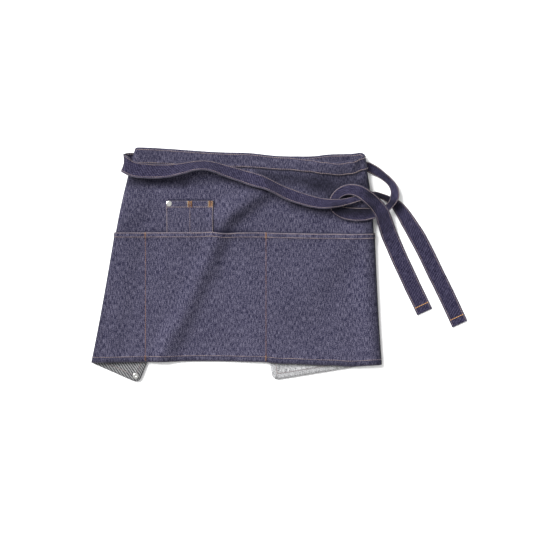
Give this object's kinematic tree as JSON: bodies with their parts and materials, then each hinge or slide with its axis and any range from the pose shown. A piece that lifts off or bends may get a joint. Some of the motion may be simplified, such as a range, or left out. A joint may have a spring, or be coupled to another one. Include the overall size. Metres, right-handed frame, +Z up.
{
  "type": "waist apron",
  "caption": "Short denim apron laid flat: waistband with long ties in a loose half knot, divided lower pocket, small pen pocket, sides folded back behind the front.",
  "frame": {"origin": "middle of the bounding box at the surface that the apron lies on", "axes": "+X to the right across the front, +Y from the hem towards the waistband, +Z up out of the surface"},
  "size_m": [0.5782, 0.3586, 0.028],
  "materials": {
    "denim": "dark indigo twill with pale flecks, light grey on its inner side",
    "band_denim": "dark indigo twill strip with pale worn edges and pinkish edge stitching",
    "pocket_denim": "dark indigo twill with copper coloured seams and bar tacks",
    "tie_denim": "dark indigo twill strip, folded and stitched along both edges",
    "nickel": "bright polished nickel"
  },
  "bodies": {
    "root": {"panel": "denim", "waistband": "band_denim", "main_pocket": "pocket_denim", "pen_pocket": "pocket_denim", "right_tie": "tie_denim", "left_tie": "tie_denim", "pen_pocket_rivet": "nickel", "flap_rivet": "nickel"}
  },
  "joints": []
}
